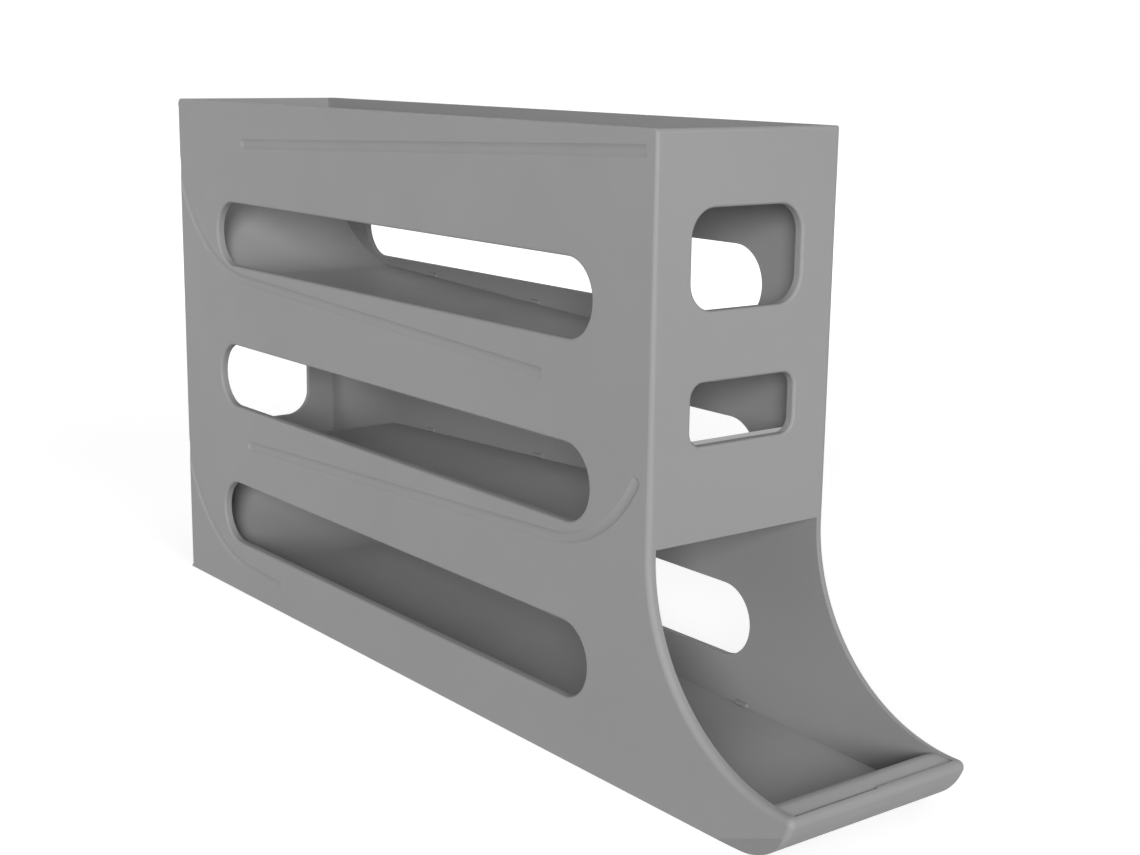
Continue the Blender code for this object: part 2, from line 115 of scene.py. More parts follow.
# Tray lines; the back bends end at a heading just short of upright
TRAY_SLOPE = math.radians(2.3)
THIRD_SLOPE = math.radians(2.4)
DROP_BACK = LENGTH - 0.0543
DROP_FRONT = 0.0530
TOP_TRAY_FRONT = -0.005
TOP_TRAY_BELOW = 0.0060
BACK_BEND_Y = LENGTH - 0.0578
BACK_BEND = 0.060
BACK_BEND_END = 86
SECOND_BEND_Z = 0.1308 + BACK_BEND
THIRD_BEND_Y = 0.0498
THIRD_BEND = 0.050
THIRD_BEND_Z = 0.0723 + THIRD_BEND
THIRD_START = -178
BOTTOM_RISE = 0.0113
BOTTOM_LOW = 0.0031
BOTTOM_BEND_Z = BOTTOM_RISE + BACK_BEND
BOTTOM_SLOPE = math.atan((BOTTOM_RISE - BOTTOM_LOW) / BACK_BEND_Y)

# Lip at the front of the bottom tray
LIP_CREST = NOSE_REACH - 0.0087
LIP_FOLD = 0.0080
LIP_RISE = 0.0180
LIP_DROP = 0.0002
LIP_TILT = math.radians(6)
LIP_DIP = 0.0030
LIP_DIP_TURN = 12
LIP_GAP = 0.0003
LIP_JOINT_SOFT = 0.0004

# Ends of the grooves
TOP_GROOVE_FRONT = 0.0047
GROOVE_BACK = LENGTH - 0.0553
THIRD_GROOVE_START = -150
BOTTOM_GROOVE_FRONT = LENGTH - 0.0803

# Ledges under the trays and lugs over them
SUPPORT_GAP = 0.0003
SUPPORT_ROOT = 0.0005
SUPPORT_END = 0.006
LEDGE_THICK = 0.0015
LUG_THICK = 0.0012
LUG_REACH = 0.0009
LUG_HALF = 0.0025
LUG_SHARES = (0.12, 0.50, 0.88)
TOP_LUG_FRONT = 0.010
BOTTOM_LEDGE_FRONT = 0.002
BOTTOM_LEDGE_START = -0.008

# Quarter round of a soft rim: depth and outward share, from the face into the hole
RIM = ((-0.10, 1.30), (0.060, 0.658), (0.181, 0.426), (0.357, 0.234), (0.577, 0.094),
       (0.792, 0.022), (1.0, 0.0))

# Shading
SHARP_ANGLE = math.radians(38)
SMOOTHING_WEIGHT = 80
TONE_SPREAD = 0.025
ROUGH_SPREAD = 0.04
# Painted shade: the nose relief's colour is multiplied by this to make it look darker
FACET_PAINTED_SHADE = 0.86
FLOOR_HALF = 6.0

# Place and width of each lamp; the stage's settings hold its power
LAMPS = {
    "key": ((-2.24, -2.67, 0.85), 1.2),
    "top": ((-0.10, -0.20, 2.00), 1.2),
    "front": ((-0.30, -2.04, 0.85), 0.7),
    "side": ((-0.60, 0.50, 0.06), 0.4),
    "back": ((2.30, 0.84, 0.62), 0.9),
}


class RackShellSizes(bpy.types.PropertyGroup):
    wall: FloatProperty(
        name="Wall", description="Thickness of the moulded walls",
        default=0.0030, min=0.001, max=0.005, unit="LENGTH", subtype="DISTANCE")
    side_soft: FloatProperty(
        name="Side edge", description="Radius of the upright back edges",
        default=0.0019, min=0.0003, max=0.0025, unit="LENGTH", subtype="DISTANCE")
    rim_soft: FloatProperty(
        name="Rim", description="Radius of the soft rims of slots and windows",
        default=0.0010, min=0.0002, max=0.0015, unit="LENGTH", subtype="DISTANCE")
    seam: FloatProperty(
        name="Seam", description="Gap between the two half shells",
        default=0.000005, min=0.0, max=0.0003, unit="LENGTH", subtype="DISTANCE")
    groove_width: FloatProperty(
        name="Groove width", description="Width of the grooves along the trays",
        default=0.0038, min=0.001, max=0.006, unit="LENGTH", subtype="DISTANCE")
    groove_depth: FloatProperty(
        name="Groove depth", description="Depth of the grooves along the trays",
        default=0.0007, min=0.0001, max=0.0015, unit="LENGTH", subtype="DISTANCE")
    ledge: FloatProperty(
        name="Ledge", description="How far the ledges under the trays stand in",
        default=0.0022, min=0.0005, max=0.004, unit="LENGTH", subtype="DISTANCE")
    rounds: IntProperty(
        name="Edge steps", description="Steps across a soft edge", default=8, min=2, max=16)


class RackTraySizes(bpy.types.PropertyGroup):
    plate: FloatProperty(
        name="Plate", description="Thickness of a tray",
        default=0.0024, min=0.001, max=0.004, unit="LENGTH", subtype="DISTANCE")
    clearance: FloatProperty(
        name="Clearance", description="Room between a tray and the walls",
        default=0.0001, min=0.00002, max=0.0005, unit="LENGTH", subtype="DISTANCE")


class RackFinish(bpy.types.PropertyGroup):
    shell_grey: FloatVectorProperty(
        name="Shell", description="Colour of the half shells",
        default=(0.300, 0.300, 0.303), min=0.0, max=1.0, size=3, subtype="COLOR")
    tray_grey: FloatVectorProperty(
        name="Trays", description="Colour of the trays",
        default=(0.385, 0.385, 0.388), min=0.0, max=1.0, size=3, subtype="COLOR")
    roughness: FloatProperty(
        name="Roughness", description="Middle roughness of the moulded surface",
        default=0.60, min=0.0, max=1.0, subtype="FACTOR")
    grain: FloatProperty(
        name="Grain", description="Size of the mould's fine grain",
        default=0.0005, min=0.0001, max=0.005, unit="LENGTH", subtype="DISTANCE")
    grain_depth: FloatProperty(
        name="Grain depth", description="Height of the mould's fine grain",
        default=0.000006, min=0.0, max=0.0001, unit="LENGTH", subtype="DISTANCE")


class RackStage(bpy.types.PropertyGroup):
    floor_white: FloatProperty(
        name="Floor", description="Lightness of the floor",
        default=0.66, min=0.0, max=1.0, subtype="FACTOR")
    floor_glow: FloatProperty(
        name="Floor glow", description="White added to the floor beside the rack where it is seen",
        default=0.68, min=0.0, max=1.0)
    surround: FloatProperty(
        name="Surround", description="Strength of the light from all round",
        default=0.125, min=0.0, max=2.0)
    key: FloatProperty(
        name="Key", description="Power of the main lamp at the front left",
        default=95.0, min=0.0, max=400.0, unit="POWER")
    top: FloatProperty(
        name="Top", description="Power of the lamp overhead",
        default=6.0, min=0.0, max=200.0, unit="POWER")
    front: FloatProperty(
        name="Front", description="Power of the lamp before the front wall",
        default=9.5, min=0.0, max=200.0, unit="POWER")
    side: FloatProperty(
        name="Side", description="Power of the lamp beside the rack's back end",
        default=1.15, min=0.0, max=200.0, unit="POWER")
    back: FloatProperty(
        name="Back", description="Power of the lamp at the back right",
        default=10.0, min=0.0, max=200.0, unit="POWER")


class Line:
    """A line in a side plane: straight runs are extruded and bends are spun."""

    def __init__(self, bm, y, z, x=0.0):
        self.bm = bm
        self.x = x
        self.end = bm.verts.new((x, y - MID, z))

    def to(self, y, z):
        self.end = bmesh.ops.extrude_vert_indiv(self.bm, verts=[self.end])["verts"][0]
        self.end.co = (self.x, y - MID, z)
        return self

    def bend(self, y, z, turn, steps):
        """Turn about a centre, in degrees from +y towards +z."""
        made = bmesh.ops.spin(
            self.bm, geom=[self.end], cent=(self.x, y - MID, z), axis=(1, 0, 0),
            angle=math.radians(turn), steps=steps)
        self.end = next(v for v in made["geom_last"] if isinstance(v, bmesh.types.BMVert))
        return self

    def face(self):
        """Close the line into one face."""
        bmesh.ops.remove_doubles(self.bm, verts=self.bm.verts, dist=1e-7)
        ends = [v for v in self.bm.verts if len(v.link_edges) == 1]
        if ends:
            self.bm.edges.new(ends)
        return bmesh.ops.contextual_create(self.bm, geom=self.bm.edges)["faces"][0]


class Track:
    """A middle line that plates, ledges and grooves follow, with its start and heading."""

    def __init__(self, y, z, heading):
        self.start = (y, z, heading)
        self.parts = []

    def run(self, length):
        self.parts.append((length, 0, 1))
        return self

    def bend(self, radius, turn, steps):
        self.parts.append((radius, turn, steps))
        return self

    def legs(self, offset):
        """First point of the parallel line, and each leg: its end, centre, turn and steps."""
        y, z, h = self.start
        first = (y - math.sin(h) * offset, z + math.cos(h) * offset)
        legs = []
        for size, turn, steps in self.parts:
            if turn == 0:
                y += size * math.cos(h)
                z += size * math.sin(h)
                centre = None
            else:
                side = math.copysign(1, turn)
                centre = (y - math.sin(h) * side * size, z + math.cos(h) * side * size)
                h += math.radians(turn)
                y = centre[0] + math.sin(h) * side * size
                z = centre[1] - math.cos(h) * side * size
            end = (y - math.sin(h) * offset, z + math.cos(h) * offset)
            legs.append((end, centre, turn, steps))
        return first, legs, h

    def ribbon(self, bm, above, below):
        """One face between two parallel lines."""
        first, legs, _ = self.legs(above)
        line = Line(bm, *first)
        for end, centre, turn, steps in legs:
            if centre:
                line.bend(*centre, turn, steps)
            else:
                line.to(*end)
        first, legs, _ = self.legs(below)
        line.to(*legs[-1][0])
        ends = [first] + [leg[0] for leg in legs[:-1]]
        for end, (_, centre, turn, steps) in zip(reversed(ends), reversed(legs)):
            if centre:
                line.bend(*centre, -turn, steps)
            else:
                line.to(*end)
        return line.face()


def rising(front, slope, low_z):
    """Tray line that starts at the front and curves up at the back."""
    bend_y = BACK_BEND_Y + BACK_BEND * math.sin(slope)
    bend_z = low_z - BACK_BEND * math.cos(slope)
    length = (bend_y - front) / math.cos(slope)
    track = Track(front, bend_z - length * math.sin(slope), slope)
    return track.run(length).bend(BACK_BEND, BACK_BEND_END - math.degrees(slope), 40)


def falling(front_angle, back):
    """Third tray's line: curved at the front from an angle in degrees, then down to the back."""
    a = math.radians(front_angle)
    start_y = THIRD_BEND_Y + THIRD_BEND * math.cos(a)
    start_z = THIRD_BEND_Z + THIRD_BEND * math.sin(a)
    track = Track(start_y, start_z, a + math.pi / 2)
    track.bend(THIRD_BEND, -90 - math.degrees(THIRD_SLOPE) - front_angle, 40)
    low_y = THIRD_BEND_Y - THIRD_BEND * math.sin(THIRD_SLOPE)
    return track.run((back - low_y) / math.cos(THIRD_SLOPE))


def straight(front, back):
    """Top tray's line, which slopes down to the back."""
    z = HEIGHT - TOP_TRAY_BELOW - front * math.tan(TRAY_SLOPE)
    return Track(front, z, -TRAY_SLOPE).run((back - front) / math.cos(TRAY_SLOPE))


def extruded(bm, face):
    """Extrude one face and return the new one; a face left inside the shape goes."""
    made = bmesh.ops.extrude_face_region(bm, geom=[face])["geom"]
    if face.is_valid and len(face.edges[0].link_faces) > 2:
        bmesh.ops.delete(bm, geom=[face], context="FACES_ONLY")
    return next(g for g in made if isinstance(g, bmesh.types.BMFace))


def shift(bm, face, move):
    bmesh.ops.translate(bm, verts=face.verts, vec=move)


def push(bm, face, x):
    """Extrude a side face straight across to x."""
    new = extruded(bm, face)
    shift(bm, new, (x - new.verts[0].co.x, 0, 0))
    return new


def close(bm):
    """Fill what is still open and turn every face outwards."""
    rim = [e for e in bm.edges if e.is_boundary]
    if rim:
        bmesh.ops.holes_fill(bm, edges=rim, sides=0)
    bmesh.ops.recalc_face_normals(bm, faces=bm.faces)


def mark_insets(bm, face, softness):
    """Keep each outline point's place, its inward step and its own edge radius."""
    home = bm.verts.layers.float_vector.new("home")
    inward = bm.verts.layers.float_vector.new("inward")
    radius = bm.verts.layers.float.new("radius")
    face.normal_update()
    for loop in face.loops:
        here = loop.vert.co
        before = (here - loop.link_loop_prev.vert.co).normalized()
        after = (loop.link_loop_next.vert.co - here).normalized()
        turn = face.normal.cross(before) + face.normal.cross(after)
        loop.vert[home] = here
        loop.vert[inward] = turn / (1 + before.dot(after))
        loop.vert[radius] = softness(here.y + MID, here.z)
    return home, inward, radius


def levels(bm, face, layers, steps, side, outer):
    """Extrude an outline through steps of (inward share, depth share) under the outer plane."""
    home, inward, radius = layers
    for share, depth in steps:
        face = extruded(bm, face)
        for vert in face.verts:
            r = vert[radius]
            vert.co = vert[home] + vert[inward] * r * share
            vert.co.x = side * (outer - r * depth)
    return face


def mesh_object(name, bm):
    mesh = bpy.data.meshes.new(name)
    bm.to_mesh(mesh)
    bm.free()
    obj = bpy.data.objects.new(name, mesh)
    bpy.context.scene.collection.objects.link(obj)
    return obj


def combine(body, tools, operation):
    """Apply one exact boolean with all the tools in one mesh, then drop them."""
    joined = bmesh.new()
    for bm in tools:
        part = bpy.data.meshes.new("part")
        close(bm)
        bm.to_mesh(part)
        bm.free()
        joined.from_mesh(part)
        bpy.data.meshes.remove(part)
    tool = mesh_object("tool", joined)
    modifier = body.modifiers.new("shape", "BOOLEAN")
    modifier.operation = operation
    modifier.solver = "EXACT"
    modifier.object = tool
    graph = bpy.context.evaluated_depsgraph_get()
    shaped = bpy.data.meshes.new_from_object(body.evaluated_get(graph))
    old = body.data
    body.modifiers.clear()
    body.data = shaped
    bpy.data.meshes.remove(old)
    bpy.data.meshes.remove(tool.data)


def edge_softness(sizes):
    """Radius of the side edge at each point of the outline."""
    def at(y, z):
        if z > HEIGHT - BACK_CORNER and y > LENGTH / 2:
            up = (z - HEIGHT + BACK_CORNER) / BACK_CORNER
            return sizes.side_soft + (TOP_RIM - sizes.side_soft) * up
        if z > HEIGHT - FRONT_CORNER - 1e-6:
            up = max(0, (z - HEIGHT + FRONT_CORNER) / FRONT_CORNER)
            return FRONT_TOP_SOFT + (TOP_RIM - FRONT_TOP_SOFT) * up
        if y > LENGTH / 2:
            return sizes.side_soft if z > 0.001 else BOTTOM_RIM
        if z > FRONT_CURVE_TOP - 1e-6:
            return FOOT_SOFT
        if z > TIP[1]:
            return FOOT_SOFT + (NOSE_SOFT - FOOT_SOFT) * (FRONT_CURVE_TOP - z) / FRONT_CURVE
        return BOTTOM_RIM + (NOSE_SOFT - BOTTOM_RIM) * min(1, z / TIP[1])
    return at


def solid_half(side, sizes):
    """Half body with soft side edges, still solid inside."""
    bm = bmesh.new()
    cy, cz = NOSE_CENTRE
    meet = math.degrees(math.atan2(TIP[1] - cz, TIP[0] - cy)) + 360
    line = Line(bm, LENGTH, 0, side * sizes.seam / 2)
    line.to(LENGTH, BACK_FOOT).to(LENGTH, HEIGHT - BACK_CORNER)
    line.bend(LENGTH - BACK_CORNER, HEIGHT - BACK_CORNER, 90, 10)
    line.to(FRONT_CORNER, HEIGHT).bend(FRONT_CORNER, HEIGHT - FRONT_CORNER, 90, 8)
    line.to(0, FRONT_CURVE_TOP).bend(-FRONT_CURVE, FRONT_CURVE_TOP, -90, 64)
    line.to(TIP[0], NOSE_TOP).bend(*TIP, meet - 90, 14)
    line.bend(cy, cz, 270 - meet, 28)
    face = line.face()
    layers = mark_insets(bm, face, edge_softness(sizes))
    count = sizes.rounds
    steps = [(1 - math.cos(math.pi / 2 * k / count), 1 - math.sin(math.pi / 2 * k / count))
             for k in range(count + 1)]
    levels(bm, face, layers, steps, side, HALF)
    close(bm)
    return mesh_object("half", bm)


def nose_edge(inner):
    """Centre of the small round on top of the nose's wall, between its inside and its tip."""
    cy, cz = NOSE_CENTRE
    span = NOSE_R - TIP_R
    far, near = inner + NOSE_JOINT_SOFT, TIP_R - NOSE_JOINT_SOFT
    along = (span ** 2 + far ** 2 - near ** 2) / (2 * span)
    across = math.sqrt(far ** 2 - along ** 2)
    to_tip = Vector((TIP[0] - cy, TIP[1] - cz)) / span
    return Vector((cy, cz)) + along * to_tip + across * Vector((to_tip.y, -to_tip.x))


def cavity(side, sizes):
    """Room between the walls, open at the top, the mouth and the bottom."""
    bm = bmesh.new()
    cy, cz = NOSE_CENTRE
    inner = NOSE_R - NOSE_WALL - side * SEAM_STEP / 2
    lip_top = NOSE_TOP + 0.001
    away = 0.010
    edge = nose_edge(inner)
    outward = edge - Vector(TIP)
    leave = Vector(TIP) + outward.normalized() * TIP_R
    inward = Vector((cy, cz)) - edge
    over = math.degrees(math.atan2(inward.y, inward.x) - math.atan2(outward.y, outward.x))
    start = 180 + math.degrees(math.atan2(inward.y, inward.x))
    end = 270 - math.degrees(math.asin(NOSE_WALL / 2 / inner))
    foot_y = cy + inner * math.cos(math.radians(end))
    line = Line(bm, sizes.wall, HEIGHT + away, -side * away)
    line.to(sizes.wall, FRONT_FOOT).to(-NOSE_REACH - away, FRONT_FOOT)
    line.to(-NOSE_REACH - away, lip_top).to(leave.x, lip_top).to(*leave)
    line.bend(*edge, over, 10).bend(cy, cz, end - start, 28)
    line.to(foot_y, -away).to(LENGTH - sizes.wall, -away).to(LENGTH - sizes.wall, HEIGHT + away)
    push(bm, line.face(), side * (HALF - sizes.wall))
    return bm


def soft_hole(line_face, bm, outer, depth, soft):
    """Carry an outline through a wall, with a soft rim at the outer face."""
    layers = mark_insets(bm, line_face, lambda y, z: soft)
    home, inward, _ = layers
    down, out = RIM[0]
    for vert in line_face.verts:
        vert.co = vert[home] - vert[inward] * soft * out
        vert.co.x = outer - soft * down
    steps = [(-out, down) for down, out in RIM[1:]] + [(0, depth / soft)]
    levels(bm, line_face, layers, steps, 1, outer)
    return bm


def slot_tool(side, z, sizes):
    """Long side slot with round ends; z is the height of its middle."""
    bm = bmesh.new()
    line = Line(bm, SLOT_FRONT + SLOT_R, z + SLOT_R)
    line.bend(SLOT_FRONT + SLOT_R, z, 180, 40).to(SLOT_BACK - SLOT_R, z - SLOT_R)
    line.bend(SLOT_BACK - SLOT_R, z, 180, 40)
    soft_hole(line.face(), bm, HALF, sizes.wall * 2, sizes.rim_soft)
    bmesh.ops.scale(bm, vec=(side, 1, 1), verts=bm.verts)
    return bm


def window_tool(window, face_y, inward, sizes):
    """Rounded window, drawn in the side plane and turned to face along the rack."""
    half, foot, head, corner = window
    bm = bmesh.new()
    line = Line(bm, MID + half, head - corner)
    line.bend(MID + half - corner, head - corner, 90, 14)
    line.to(MID - half + corner, head).bend(MID - half + corner, head - corner, 90, 14)
    line.to(MID - half, foot + corner).bend(MID - half + corner, foot + corner, 90, 14)
    line.to(MID + half - corner, foot).bend(MID + half - corner, foot + corner, 90, 14)
    soft_hole(line.face(), bm, 0, sizes.wall * 2, sizes.rim_soft)
    turn = Matrix(((0, 1, 0, 0), (-inward, 0, 0, face_y - MID), (0, 0, 1, 0), (0, 0, 0, 1)))
    bmesh.ops.transform(bm, matrix=turn, verts=bm.verts)
    return bm


def groove_tool(side, track, sizes, domes):
    """Round bar swept along a tray's line for a shallow groove; domes soften its two ends."""
    half, depth = sizes.groove_width / 2, sizes.groove_depth
    radius = (half ** 2 + depth ** 2) / (2 * depth)
    x = side * (HALF - depth + radius)
    first, legs, last_heading = track.legs(0)
    heading = track.start[2]
    bm = bmesh.new()
    place = Matrix.Translation((x, first[0] - MID, first[1]))
    place = place @ Matrix.Rotation(heading - math.pi / 2, 4, "X")
    bmesh.ops.create_circle(bm, cap_ends=True, segments=96, radius=radius, matrix=place)
    start_face = bm.faces[:][0]
    face = start_face
    here = first
    for end, centre, turn, steps in legs:
        if centre:
            ring = [face] + list(face.edges) + list(face.verts)
            made = bmesh.ops.spin(
                bm, geom=ring, cent=(x, centre[0] - MID, centre[1]), axis=(1, 0, 0),
                angle=math.radians(turn), steps=steps)
            face = next(g for g in made["geom_last"] if isinstance(g, bmesh.types.BMFace))
        else:
            face = extruded(bm, face)
            shift(bm, face, (0, end[0] - here[0], end[1] - here[1]))
        here = end
    ends = ((domes[1], face, here, last_heading),
            (domes[0], start_face, first, heading + math.pi))
    for wanted, end_face, at, angle in ends:
        if not (wanted and end_face.is_valid):
            continue
        ahead = Vector((0, math.cos(angle), math.sin(angle)))
        centre = Vector((x, at[0] - MID, at[1]))
        before = 0
        for degrees in range(6, 48, 6):
            a = math.radians(degrees)
            end_face = extruded(bm, end_face)
            shift(bm, end_face, ahead * radius * (math.sin(a) - math.sin(before)))
            core = centre + ahead * radius * math.sin(a)
            share = math.cos(a) / math.cos(before)
            bmesh.ops.scale(bm, vec=(share,) * 3, space=Matrix.Translation(-core),
                            verts=end_face.verts)
            before = a
    return bm


def clip(bm, y, keep_back):
    """Cut a bmesh square across at y and close the cut."""
    made = bmesh.ops.bisect_plane(
        bm, geom=bm.verts[:] + bm.edges[:] + bm.faces[:], dist=1e-7,
        plane_co=(0, y - MID, 0), plane_no=(0, 1, 0),
        clear_inner=keep_back, clear_outer=not keep_back)
    cut = [g for g in made["geom_cut"] if isinstance(g, bmesh.types.BMEdge)]
    bmesh.ops.holes_fill(bm, edges=cut, sides=0)


def supports(side, sizes, trays):
    """Ledge under each tray and small lugs over it, as bars from inside the wall."""
    off = trays.plate / 2 + SUPPORT_GAP
    front, back = sizes.wall - SUPPORT_ROOT, LENGTH - sizes.wall + SUPPORT_ROOT
    free_back, free_front = DROP_BACK - SUPPORT_END, DROP_FRONT + SUPPORT_END
    bend = BACK_BEND_Y - SUPPORT_END
    rows = (
        (straight(0, DROP_BACK), front, free_back, TOP_LUG_FRONT, free_back),
        (rising(DROP_FRONT, TRAY_SLOPE, SECOND_BEND_Z), free_front, back, free_front, bend),
        (falling(THIRD_START, DROP_BACK), front, free_back, THIRD_BEND_Y, free_back),
        (rising(BOTTOM_LEDGE_START, BOTTOM_SLOPE, BOTTOM_BEND_Z),
         BOTTOM_LEDGE_FRONT, back, BOTTOM_LEDGE_FRONT, bend),
    )
    bars = []
    for track, start, end, lug_from, lug_to in rows:
        bars.append((track, -off, -off - LEDGE_THICK, start, end, sizes.ledge))
        for share in LUG_SHARES:
            at = lug_from + (lug_to - lug_from) * share
            bars.append((track, off + LUG_THICK, off, at - LUG_HALF, at + LUG_HALF, LUG_REACH))
    inner = HALF - sizes.wall
    made = []
    for track, above, below, start, end, reach in bars:
        bm = bmesh.new()
        face = track.ribbon(bm, above, below)
        shift(bm, face, (side * (inner + SUPPORT_ROOT), 0, 0))
        push(bm, face, side * (inner - reach))
        close(bm)
        clip(bm, start, True)
        clip(bm, end, False)
        made.append(bm)
    return made


def relieve_nose(bm, side):
    """Slice the shallow tilted relief off the side's lower front corner and mark its face for
    painted shade.
    """
    y0, y1 = -(NOSE_REACH - FACET_LENGTH), -(NOSE_REACH - FACET_INSET)
    along = Vector((0, y1 - y0, FACET_RISE)).normalized()
    down = Vector((0, -along.z, along.y))
    if down.z > 0:
        down = -down
    normal = Vector((side * math.cos(FACET_TILT), 0, 0)) + down * math.sin(FACET_TILT)
    made = bmesh.ops.bisect_plane(
        bm, geom=bm.verts[:] + bm.edges[:] + bm.faces[:], dist=1e-7,
        plane_co=(side * HALF, y0 - MID, 0), plane_no=normal, clear_outer=True)
    cut = [g for g in made["geom_cut"] if isinstance(g, bmesh.types.BMEdge)]
    # This mask marks the relief's faces, which the plastic darkens with painted shade
    pressed = bm.faces.layers.float.new("pressed")
    for face in bmesh.ops.holes_fill(bm, edges=cut, sides=0)["faces"]:
        face[pressed] = 1


def finish_piece(obj, name, node, finish):
    """Clean and shade a piece, give it its plastic and let it stand for its node."""
    bm = bmesh.new()
    bm.from_mesh(obj.data)
    for layer in ("home", "inward"):
        if layer in bm.verts.layers.float_vector:
            bm.verts.layers.float_vector.remove(bm.verts.layers.float_vector[layer])
    bmesh.ops.remove_doubles(bm, verts=bm.verts, dist=2e-6)
    bmesh.ops.dissolve_degenerate(bm, edges=bm.edges, dist=2e-6)
    bmesh.ops.recalc_face_normals(bm, faces=bm.faces)
    if not bm.faces:
        raise RuntimeError(name + " came out empty")
    bm.to_mesh(obj.data)
    bm.free()
    obj.name = name
    obj.data.name = name
    for face in obj.data.polygons:
        face.use_smooth = True
    obj.data.set_sharp_from_angle(angle=SHARP_ANGLE)
    weigh = obj.modifiers.new("weighted normals", "WEIGHTED_NORMAL")
    weigh.mode = "FACE_AREA"
    weigh.weight = SMOOTHING_WEIGHT
    weigh.keep_sharp = True
    obj.data.materials.clear()
    obj.data.materials.append(finish)
    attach(obj, BODY)
    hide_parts(node)


def moulded_plastic(name, grey, looks):
    """Matte moulded plastic: slow shifts of tone, fine mould grain, painted shade on the nose
    relief's marked faces.
    """
    material = bpy.data.materials.new(name)
    material.use_nodes = True
    nodes, links = material.node_tree.nodes, material.node_tree.links
    shader = nodes["Principled BSDF"]
    shader.inputs["IOR"].default_value = 1.46
    shader.inputs["Specular IOR Level"].default_value = 0.25
    place = nodes.new("ShaderNodeTexCoord")

    def noise(scale, detail, rough):
        node = nodes.new("ShaderNodeTexNoise")
        node.inputs["Scale"].default_value = scale
        node.inputs["Detail"].default_value = detail
        node.inputs["Roughness"].default_value = rough
        links.new(place.outputs["Object"], node.inputs["Vector"])
        return node

    def ranged(source, low, high):
        node = nodes.new("ShaderNodeMapRange")
        node.inputs["From Min"].default_value = 0.3
        node.inputs["From Max"].default_value = 0.7
        node.inputs["To Min"].default_value = low
        node.inputs["To Max"].default_value = high
        links.new(source.outputs["Fac"], node.inputs["Value"])
        return node

    flow = noise(9.0, 2.0, 0.5)
    tone = nodes.new("ShaderNodeMix")
    tone.data_type = "RGBA"
    tone.inputs["A"].default_value = (*[c * (1 - TONE_SPREAD) for c in grey], 1)
    tone.inputs["B"].default_value = (*[c * (1 + TONE_SPREAD) for c in grey], 1)
    links.new(ranged(flow, 0.0, 1.0).outputs["Result"], tone.inputs["Factor"])
    # Painted shade: the marked relief faces get their colour multiplied darker
    pressed = nodes.new("ShaderNodeAttribute")
    pressed.attribute_name = "pressed"
    darker = nodes.new("ShaderNodeMix")
    darker.data_type = "RGBA"
    darker.blend_type = "MULTIPLY"
    darker.inputs["B"].default_value = (FACET_PAINTED_SHADE, FACET_PAINTED_SHADE, FACET_PAINTED_SHADE, 1)
    links.new(pressed.outputs["Fac"], darker.inputs["Factor"])
    links.new(tone.outputs["Result"], darker.inputs["A"])
    links.new(darker.outputs["Result"], shader.inputs["Base Color"])
    patches = noise(60.0, 3.0, 0.6)
    rough = ranged(patches, looks.roughness - ROUGH_SPREAD, looks.roughness + ROUGH_SPREAD)
    links.new(rough.outputs["Result"], shader.inputs["Roughness"])
    grain = noise(1.0 / looks.grain, 2.0, 0.55)
    bump = nodes.new("ShaderNodeBump")
    bump.inputs["Distance"].default_value = looks.grain_depth
    bump.inputs["Strength"].default_value = 0.6
    links.new(grain.outputs["Fac"], bump.inputs["Height"])
    links.new(bump.outputs["Normal"], shader.inputs["Normal"])
    return material


def lip_track(plate):
    """Upper line of the bottom tray: dip, top band, fold, rise, long slope and back curve."""
    half = plate / 2
    cy, cz = NOSE_CENTRE
    crest_y = -LIP_CREST
    crest_z = NOSE_TOP - LIP_DROP - LIP_FOLD
    tan, cos = math.tan(BOTTOM_SLOPE), math.cos(BOTTOM_SLOPE)
    bend_y = BACK_BEND_Y + BACK_BEND * math.sin(BOTTOM_SLOPE)
    bend_z = BOTTOM_BEND_Z - BACK_BEND * cos
    # A few rounds settle where the rise touches both the fold and the long slope
    rise_y = crest_y + LIP_RISE
    for _ in range(12):
        rise_z = bend_z - (bend_y - rise_y) * tan + (half + LIP_RISE) / cos
        rise_y = crest_y + math.sqrt((LIP_RISE + LIP_FOLD) ** 2 - (rise_z - crest_z) ** 2)
    meet = math.degrees(math.atan2(rise_z - crest_z, rise_y - crest_y))
    inner = NOSE_R - NOSE_WALL - LIP_GAP
    heading = LIP_TILT + math.radians(LIP_DIP_TURN)
    fold_y = crest_y - LIP_FOLD * math.sin(LIP_TILT)
    fold_z = crest_z + LIP_FOLD * math.cos(LIP_TILT)
    dip_y = LIP_DIP * (math.sin(heading) - math.sin(LIP_TILT))
    dip_z = LIP_DIP * (math.cos(LIP_TILT) - math.cos(heading))
    # A few rounds settle the band's length, so that the dip ends at the nose's inner wall
    band = 0
    for _ in range(12):
        front_z = fold_z - band * math.sin(LIP_TILT) - dip_z
        front = cy - math.sqrt(inner ** 2 - (cz - front_z) ** 2)
        band = (fold_y - dip_y - front) / math.cos(LIP_TILT)
    track = Track(front, front_z, heading).bend(LIP_DIP, -LIP_DIP_TURN, 12).run(band)
    track.bend(LIP_FOLD, meet - 90 - math.degrees(LIP_TILT), 20)
    track.bend(LIP_RISE, 90 - meet + math.degrees(BOTTOM_SLOPE), 30)
    foot_y = rise_y + LIP_RISE * math.sin(BOTTOM_SLOPE)
    top_bend_y = bend_y - half * math.sin(BOTTOM_SLOPE)
    track.run((top_bend_y - foot_y) / cos)
    return track.bend(BACK_BEND - half, BACK_BEND_END - math.degrees(BOTTOM_SLOPE), 40)


def runs_across(edge):
    """Is this a sharp edge across the rack's width?"""
    a, b = edge.verts
    return math.hypot(a.co.y - b.co.y, a.co.z - b.co.z) < 1e-6 and edge.calc_face_angle(0) > 0.6


def middle(edge):
    """Place of an edge's middle in the side outline."""
    at = (edge.verts[0].co + edge.verts[1].co) / 2
    return at.y + MID, at.z


